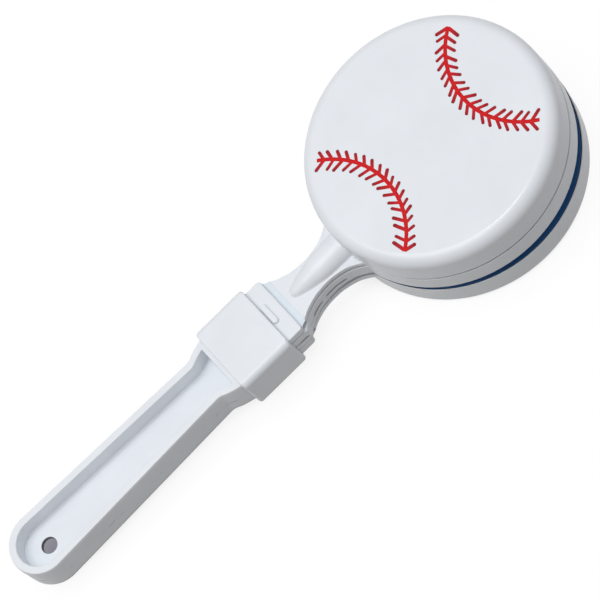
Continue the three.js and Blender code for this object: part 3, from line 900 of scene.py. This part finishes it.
def bump_rings():
    """Detent bump: a round-ended bar with a soft top, sunk a little into its block."""
    radius = BUMP_WIDTH / 2
    run = BUMP_LENGTH / 2 - radius
    centre_y = SLEEVE_TOP_Y + FIT_GAP + radius
    outline = arc_points((run, centre_y), radius, -90, 90, 16)
    outline += arc_points((-run, centre_y), radius, 90, 270, 16)
    sunk = at_height(outline, HALF_HANDLE - 0.3 * MM)
    soft = 0.7 * MM
    wall_top = HALF_HANDLE + BUMP_HEIGHT - soft
    return [sunk] + [at_height(inset(outline, i), wall_top + rise) for i, rise in round_steps(soft, 6)]


def add_root_block(body, edge):
    """Block that the sleeve clamps, with peg holes below and the detent bump on top."""
    corner = ROOT_CORNER_RADIUS
    w = ROOT_HALF_WIDTH
    right_side = [(0, ROOT_BLOCK_Y), (w, ROOT_BLOCK_Y)]
    right_side += arc_points((w - corner, NECK_ROOT_Y - corner), corner, 0, 90, 8)
    outline = mirrored(right_side + [(0, NECK_ROOT_Y)])
    base = body.skin(prism_rings(outline, ROOT_BOTTOM_Z, HALF_HANDLE, edge), cap_start=False)[0]
    holes = []
    hole_top_z = HALF_TONGUE + PEG_HEIGHT + FIT_GAP
    for x in (-PEG_OFFSET, PEG_OFFSET):
        hole = circle_points((x, PEG_Y), PEG_RADIUS + FIT_GAP, 32)
        top = body.add_ring(at_height(hole, hole_top_z))
        mouth = body.add_ring(at_height(hole, ROOT_BOTTOM_Z))
        body.bridge(top, mouth)
        body.faces.append(tuple(reversed(top)))
        holes.append(mouth)
    body.holed_cap(base, holes, upward=False)
    body.skin(bump_rings())


class CLAPPER_OT_roots(bpy.types.Operator):
    """Root blocks of both clappers, which the sleeve clamps to the tongue"""

    bl_idname = "clapper.roots"
    bl_label = "Root Blocks"

    def execute(self, context):
        body = Body()
        add_root_block(body, 0.5 * MM)
        white = looks()["White plastic"]
        for side, place in (("front", PADDLE), ("back", BACK_ON_PADDLE)):
            piece = body.piece(side + "_clamp_block", place, white)
            finish(piece, "handle", "white_plastic", side + "_root_block")
        return {"FINISHED"}


def strip_body():
    """Living hinge: a thin strip a little wider at its root, dished along its middle."""
    body = Body()
    rows = 12
    rings = []
    reach = HINGE_LENGTH / 2 + HINGE_OVERLAP
    for step in range(rows + 1):
        share = step / rows
        y = HINGE_Y - reach + 2 * reach * share
        half = HINGE_ROOT_HALF_WIDTH + (HINGE_HALF_WIDTH - HINGE_ROOT_HALF_WIDTH) * share ** 0.6
        dish = HINGE_THINNING + HINGE_DISH * math.sin(math.pi * share)
        top = HINGE_Z + HINGE_THICKNESS / 2 - dish
        low = HINGE_Z - HINGE_THICKNESS / 2 + dish
        rings.append([(-half, y, low), (-half, y, top), (half, y, top), (half, y, low)])
    body.skin(rings)
    return body


class CLAPPER_OT_hinges(bpy.types.Operator):
    """Living hinge strips at the clappers' roots, the back one set half open"""

    bl_idname = "clapper.hinges"
    bl_label = "Living Hinges"

    def execute(self, context):
        white = looks()["White plastic, shaded hinge"]
        middle = Matrix.Translation(joint_place("back_clapper_swing"))
        half_open = middle @ HALF_OPEN @ middle.inverted()
        for side, place in (("front", PADDLE), ("back", half_open @ BACK_CLAPPER)):
            strip = strip_body().piece(side + "_hinge_strip", place, white)
            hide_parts(side + "_living_hinge")
            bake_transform(strip)
        return {"FINISHED"}


def sleeve_ring(half_x, half_z, radius, y):
    """Rounded rectangle across the handle, clockwise seen from the head."""
    ring = []
    for x, z, start in ((1, 1, 90), (1, -1, 0), (-1, -1, -90), (-1, 1, -180)):
        centre = (x * (half_x - radius), z * (half_z - radius))
        ring += arc_points(centre, radius, start, start - 90, 8)
    return [(x, y, z) for x, z in ring]


class CLAPPER_OT_sleeve(bpy.types.Operator):
    """Clamping sleeve round the root blocks"""

    bl_idname = "clapper.sleeve"
    bl_label = "Clamping Sleeve"

    def execute(self, context):
        inner_x = ROOT_HALF_WIDTH + FIT_GAP
        inner_z = HALF_HANDLE + FIT_GAP
        outer_x = inner_x + SLEEVE_WALL
        outer_z = inner_z + SLEEVE_WALL
        top = SLEEVE_TOP_Y
        bottom = SLEEVE_TOP_Y - SLEEVE_LENGTH
        edge = context.scene.clapper_sizes.edge_round * 0.8
        side_edge = 1.2 * MM
        corner = 2.3 * MM
        lip = 0.2 * MM
        edge_steps = [side_edge - rise for _, rise in round_steps(side_edge, 10)]

        def round_inset(radius, from_end):
            left = max(0, radius - from_end)
            return radius - math.sqrt(radius ** 2 - left ** 2)

        def outer(from_end, y):
            depth_x = round_inset(side_edge, from_end)
            depth_z = round_inset(edge, from_end)
            return sleeve_ring(outer_x - depth_x, outer_z - depth_z, corner - depth_z, y)

        def inner(depth, y):
            return sleeve_ring(inner_x + depth, inner_z + depth, 0.35 * MM + depth, y)

        rings = [inner(i, bottom + lip - rise) for i, rise in round_steps(lip, 3)]
        rings += [outer(from_end, bottom + from_end) for from_end in reversed(edge_steps)]
        rings += [outer(from_end, top - from_end) for from_end in edge_steps]
        rings += [inner(i, top - lip + rise) for i, rise in reversed(round_steps(lip, 3))]
        body = Body()
        body.skin(rings, closed=True)
        piece = body.piece("sleeve_moulding", PADDLE, looks()["White plastic, sleeve"])
        finish(piece, "handle", "white_plastic", "clamp_sleeve")
        return {"FINISHED"}


def seam_angles(side, offset_x, beyond, radius, apex_edge, open_edge):
    """Centre of an arc of stitching, and the angles where it stops short of the face's edge."""
    centre = Vector((offset_x, side * (FACE_RADIUS + beyond)))
    distance = centre.length
    inward = math.atan2(-centre.y, -centre.x)

    def half_span(edge):
        reach = FACE_RADIUS - edge
        return math.acos((radius ** 2 + distance ** 2 - reach ** 2) / (2 * radius * distance))

    return centre, inward - half_span(apex_edge), inward + half_span(open_edge)


def stitching_tree():
    """Geometry Nodes that print a spine along an arc, with a row of slanting stitches on each side."""
    tree = bpy.data.node_groups.new("Stitching", "GeometryNodeTree")
    for label, kind, default in (
            ("Arc Radius", "NodeSocketFloat", 0.03), ("Start Angle", "NodeSocketFloat", 0.0),
            ("Sweep Angle", "NodeSocketFloat", 1.5), ("Outer Count", "NodeSocketInt", 19),
            ("Outer Length", "NodeSocketFloat", 0.0045), ("Outer Slant", "NodeSocketFloat", 0.85),
            ("Inner Count", "NodeSocketInt", 17), ("Inner Length", "NodeSocketFloat", 0.0045),
            ("Inner Slant", "NodeSocketFloat", 0.95), ("Stitch Width", "NodeSocketFloat", 0.001),
            ("Spine Width", "NodeSocketFloat", 0.0012),
            ("Ink Thickness", "NodeSocketFloat", 0.0001), ("Seed", "NodeSocketInt", 3),
            ("Ink", "NodeSocketMaterial", None)):
        socket = tree.interface.new_socket(label, in_out="INPUT", socket_type=kind)
        if default is not None:
            socket.default_value = default
    tree.interface.new_socket("Geometry", in_out="OUTPUT", socket_type="NodeSocketGeometry")
    given = new_node(tree, "NodeGroupInput").outputs
    result = new_node(tree, "NodeGroupOutput")

    arc = new_node(tree, "GeometryNodeCurveArc", {
        "Resolution": 65, "Radius": given["Arc Radius"], "Start Angle": given["Start Angle"],
        "Sweep Angle": given["Sweep Angle"]}, mode="RADIUS")
    spine = slab_along(tree, arc.outputs["Curve"], given["Spine Width"], given["Ink Thickness"])
    joined = new_node(tree, "GeometryNodeJoinGeometry")
    for part in (spine, stitch_row(tree, given, "Outer", -1), stitch_row(tree, given, "Inner", 1)):
        tree.links.new(part, joined.inputs[0])
    real = new_node(tree, "GeometryNodeRealizeInstances", {0: joined.outputs[0]})
    inked = new_node(tree, "GeometryNodeSetMaterial", {"Geometry": real.outputs[0], "Material": given["Ink"]})
    tree.links.new(inked.outputs[0], result.inputs[0])
    return tree


def stitch_row(tree, given, row, side):
    """The stitches on one side of the arc, from its apex to its open end, a little uneven as in a print."""
    length = given[row + " Length"]
    forward = math_node(tree, "MULTIPLY", math_node(tree, "COSINE", given[row + " Slant"]), length)
    overhang = math_node(tree, "DIVIDE", forward, given["Arc Radius"])
    root_arc = new_node(tree, "GeometryNodeCurveArc", {
        "Resolution": 65, "Radius": given["Arc Radius"], "Start Angle": given["Start Angle"],
        "Sweep Angle": math_node(tree, "SUBTRACT", given["Sweep Angle"], overhang)}, mode="RADIUS")
    steps = new_node(tree, "GeometryNodeResampleCurve", {
        "Curve": root_arc.outputs["Curve"], "Count": given[row + " Count"]}, mode="COUNT")
    tangent = new_node(tree, "GeometryNodeInputTangent").outputs[0]
    seed = math_node(tree, "ADD", given["Seed"], float(side))
    turn = new_node(tree, "FunctionNodeRandomValue", {
        "Min": (-STITCH_SHIFT, 0.0, -STITCH_TURN), "Max": (STITCH_SHIFT, 0.0, STITCH_TURN), "Seed": seed},
        data_type="FLOAT_VECTOR")
    turn = coordinate_parts(tree, turn.outputs[0])
    shift = vector_math(tree, "SCALE", tangent, scale=turn["X"])
    spaced = new_node(tree, "GeometryNodeSetPosition", {
        "Geometry": steps.outputs["Curve"], "Offset": shift})
    facing = new_node(tree, "FunctionNodeAlignRotationToVector", {"Vector": tangent}, axis="X")
    spin = new_node(tree, "ShaderNodeCombineXYZ", {"Z": turn["Z"]})
    jitter = new_node(tree, "FunctionNodeEulerToRotation", {0: spin.outputs[0]})
    turned = new_node(tree, "FunctionNodeRotateRotation", {
        0: facing.outputs[0], 1: jitter.outputs[0]}, rotation_space="LOCAL")
    size = new_node(tree, "FunctionNodeRandomValue", {"Min": 0.93, "Max": 1.07, "Seed": seed},
                    data_type="FLOAT")
    size = [socket for socket in size.outputs if socket.enabled][0]
    first = math_node(tree, "LESS_THAN", new_node(tree, "GeometryNodeInputIndex").outputs[0], 0.5)
    placed = new_node(tree, "GeometryNodeInstanceOnPoints", {
        "Points": spaced.outputs[0], "Instance": stitch_arm(tree, given, row, side),
        "Rotation": turned.outputs[0],
        "Scale": math_node(tree, "MULTIPLY_ADD", first, APEX_STITCH_GROWTH, size)})
    return placed.outputs[0]


def slab_along(tree, curve, width, thickness):
    """Flat printed line along a curve in the XY plane."""
    upright = new_node(tree, "GeometryNodeSetCurveNormal", {"Curve": curve}, mode="Z_UP")
    section = new_node(tree, "GeometryNodeCurvePrimitiveQuadrilateral", {
        "Width": width, "Height": thickness}, mode="RECTANGLE")
    swept = new_node(tree, "GeometryNodeCurveToMesh", {
        "Curve": upright.outputs[0], "Profile Curve": section.outputs[0], "Fill Caps": True})
    return store_reach(tree, swept.outputs[0], 0.0)


def store_reach(tree, geometry, value):
    """Keeps how far each point is from the spine to its stitch's tip, for the ink's colour."""
    return new_node(tree, "GeometryNodeStoreNamedAttribute", {
        "Geometry": geometry, "Name": "reach", "Value": value},
        data_type="FLOAT", domain="POINT").outputs[0]


def stitch_arm(tree, given, row, side):
    """One round-ended stitch from the spine, turned to its side, with its reach stored from root to tip."""
    length = given[row + " Length"]
    section = new_node(tree, "GeometryNodeCurvePrimitiveQuadrilateral", {
        "Width": length, "Height": given["Stitch Width"]}, mode="RECTANGLE")
    rounded = new_node(tree, "GeometryNodeFilletCurve", {
        "Curve": section.outputs[0], "Radius": math_node(tree, "MULTIPLY", given["Stitch Width"], 0.49),
        "Count": 5, "Limit Radius": True}, mode="POLY")
    face = new_node(tree, "GeometryNodeFillCurve", {0: rounded.outputs[0]}, mode="NGONS")
    raised = new_node(tree, "GeometryNodeExtrudeMesh", {
        "Mesh": face.outputs[0], "Offset": (0.0, 0.0, 1.0), "Offset Scale": given["Ink Thickness"],
        "Individual": False}, mode="FACES")
    under = new_node(tree, "GeometryNodeFlipFaces", {0: face.outputs[0]})
    slab = new_node(tree, "GeometryNodeJoinGeometry")
    tree.links.new(raised.outputs[0], slab.inputs[0])
    tree.links.new(under.outputs[0], slab.inputs[0])
    merged = new_node(tree, "GeometryNodeMergeByDistance", {"Geometry": slab.outputs[0], "Distance": 1e-6})
    place = new_node(tree, "GeometryNodeInputPosition").outputs[0]
    along = math_node(tree, "DIVIDE", coordinate_parts(tree, place)["X"], length)
    stored = store_reach(tree, merged.outputs[0], math_node(tree, "ADD", along, 0.5))
    shift = new_node(tree, "ShaderNodeCombineXYZ", {"X": math_node(tree, "MULTIPLY", length, 0.46)})
    rooted = new_node(tree, "GeometryNodeTransform", {"Geometry": stored, "Translation": shift.outputs[0]})
    spin = new_node(tree, "ShaderNodeCombineXYZ", {
        "Z": math_node(tree, "MULTIPLY", given[row + " Slant"], float(side))})
    turned = new_node(tree, "GeometryNodeTransform", {
        "Geometry": rooted.outputs[0], "Rotation": spin.outputs[0]})
    return turned.outputs[0]


def print_seam(name, seam, rows, tree, seed, sizes):
    """One arc of stitching as a plain mesh on the front face."""
    radius = seam[3]
    centre, apex, opened = seam_angles(*seam)
    mesh = bpy.data.meshes.new(name)
    piece = bpy.data.objects.new(name, mesh)
    bpy.context.scene.collection.objects.link(piece)
    modifier = piece.modifiers.new("Stitching", "NODES")
    modifier.node_group = tree
    values = {
        "Arc Radius": radius, "Start Angle": apex, "Sweep Angle": opened - apex,
        "Stitch Width": sizes.stitch_width, "Spine Width": sizes.spine_width,
        "Ink Thickness": sizes.ink_thickness, "Seed": seed, "Ink": bpy.data.materials["Stitch ink"],
    }
    for row, (count, length, slant) in rows.items():
        values[row + " Count"] = count
        values[row + " Length"] = length * sizes.stitch_scale
        values[row + " Slant"] = math.radians(slant)
    for item in tree.interface.items_tree:
        if item.in_out == "INPUT":
            modifier[item.identifier] = values[item.name]
    settle(piece)
    if not piece.data.polygons:
        raise RuntimeError(name + " came out empty")
    piece.data.transform(PADDLE @ Matrix.Translation((centre.x, centre.y, FACE_Z)))
    return piece


class CLAPPER_OT_stitching(bpy.types.Operator):
    """Red stitching printed on the front face"""

    bl_idname = "clapper.stitching"
    bl_label = "Stitching"

    def execute(self, context):
        looks()
        tree = stitching_tree()
        sizes = context.scene.clapper_sizes
        upper = print_seam("upper_stitching", UPPER_SEAM, UPPER_ROWS, tree, 5, sizes)
        finish(upper, "front_clapper", "red_ink", "front_stitching_upper")
        lower = print_seam("lower_stitching", LOWER_SEAM, LOWER_ROWS, tree, 8, sizes)
        finish(lower, "front_clapper", "red_ink", "front_stitching_lower")
        return {"FINISHED"}


def add_lamp(name, place, target, size, energy, colour=(1.0, 1.0, 1.0)):
    """Square soft lamp that faces a target."""
    lamp = bpy.data.lights.new(name, "AREA")
    lamp.shape = "SQUARE"
    lamp.size = size
    lamp.energy = energy
    lamp.color = colour
    holder = bpy.data.objects.new(name, lamp)
    holder.location = place
    holder.rotation_euler = (Vector(target) - Vector(place)).to_track_quat("-Z", "Y").to_euler()
    bpy.context.scene.collection.objects.link(holder)
    return holder


class CLAPPER_OT_stage(bpy.types.Operator):
    """Floor, lamps, world and the photograph's camera"""

    bl_idname = "clapper.stage"
    bl_label = "Stage"

    def execute(self, context):
        scene = context.scene
        reach = 4.0
        mesh = bpy.data.meshes.new("Floor")
        corners = [(-reach, -reach, 0), (reach, -reach, 0), (reach, reach, 0), (-reach, reach, 0)]
        mesh.from_pydata([Vector(c) - Vector((0, 0, 0.02 * MM)) for c in corners], [], [(0, 1, 2, 3)])
        mesh.materials.append(studio_floor_look("Studio floor", tuple(scene.clapper_colours.floor)))
        floor = bpy.data.objects.new("Floor", mesh)
        scene.collection.objects.link(floor)

        middle = (0, -0.07, 0.02)
        add_lamp("Key lamp", (-0.14, -0.45, 1.38), middle, 0.9, 8.75, (0.94, 0.975, 1.0))
        add_lamp("Top lamp", (-0.22, -0.02, 1.18), middle, 0.16, 1.5, (0.96, 0.98, 1.0))
        add_lamp("Fill lamp", (0.10, 0.75, 0.70), middle, 0.6, 0.5, (0.62, 0.76, 1.0))

        world = bpy.data.worlds.new("Studio")
        world.use_nodes = True
        tree = world.node_tree
        tree.nodes.clear()
        path = new_node(tree, "ShaderNodeLightPath")
        seen = new_node(tree, "ShaderNodeMath", {
            0: path.outputs["Is Camera Ray"], 1: path.outputs["Is Transmission Ray"]}, operation="MAXIMUM")
        ambient = new_node(tree, "ShaderNodeBackground", {"Color": (1.0, 0.97, 0.95, 1.0), "Strength": 0.49})
        backdrop = new_node(tree, "ShaderNodeBackground", {"Color": (1.0, 1.0, 1.0, 1.0), "Strength": 1.0})
        mix = new_node(tree, "ShaderNodeMixShader", {
            0: seen.outputs[0], 1: ambient.outputs[0], 2: backdrop.outputs[0]})
        output = new_node(tree, "ShaderNodeOutputWorld")
        tree.links.new(mix.outputs[0], output.inputs["Surface"])
        scene.world = world

        lens = bpy.data.cameras.new("Photo camera")
        lens.lens = CAMERA_LENS
        lens.sensor_width = 36.0
        lens.clip_end = 20.0
        camera = bpy.data.objects.new("Photo camera", lens)
        camera.location = CAMERA_PLACE
        camera.rotation_euler = [math.radians(angle) for angle in CAMERA_TURN_DEG]
        scene.collection.objects.link(camera)
        scene.camera = camera
        scene.view_settings.view_transform = "Standard"
        return {"FINISHED"}


class CLAPPER_PT_panel(bpy.types.Panel):
    """Sidebar panel with the clapper's sizes, colours and pieces"""

    bl_idname = "CLAPPER_PT_panel"
    bl_label = "Baseball Clapper"
    bl_space_type = "VIEW_3D"
    bl_region_type = "UI"
    bl_category = "Clapper"

    def draw(self, context):
        layout = self.layout
        for group in (context.scene.clapper_sizes, context.scene.clapper_colours):
            column = layout.column(align=True)
            for name in group.bl_rna.properties.keys():
                if name not in ("rna_type", "name"):
                    column.prop(group, name)
        column = layout.column(align=True)
        for operator in OPERATORS:
            column.operator(operator.bl_idname)


OPERATORS = (
    CLAPPER_OT_stage,
    CLAPPER_OT_handle,
    CLAPPER_OT_shells,
    CLAPPER_OT_plates,
    CLAPPER_OT_hinges,
    CLAPPER_OT_roots,
    CLAPPER_OT_sleeve,
    CLAPPER_OT_stitching,
)
CLASSES = (ClapperSizes, ClapperColours) + OPERATORS + (CLAPPER_PT_panel,)


def register():
    for item in CLASSES:
        bpy.utils.register_class(item)
    bpy.types.Scene.clapper_sizes = bpy.props.PointerProperty(type=ClapperSizes)
    bpy.types.Scene.clapper_colours = bpy.props.PointerProperty(type=ClapperColours)


def unregister():
    del bpy.types.Scene.clapper_colours
    del bpy.types.Scene.clapper_sizes
    for item in reversed(CLASSES):
        bpy.utils.unregister_class(item)


def main():
    """Registers the classes, and builds every piece and the stage."""
    register()
    bpy.ops.clapper.stage()
    bpy.ops.clapper.handle()
    bpy.ops.clapper.shells()
    bpy.ops.clapper.plates()
    bpy.ops.clapper.hinges()
    bpy.ops.clapper.roots()
    bpy.ops.clapper.sleeve()
    bpy.ops.clapper.stitching()


if __name__ == "__main__":
    main()
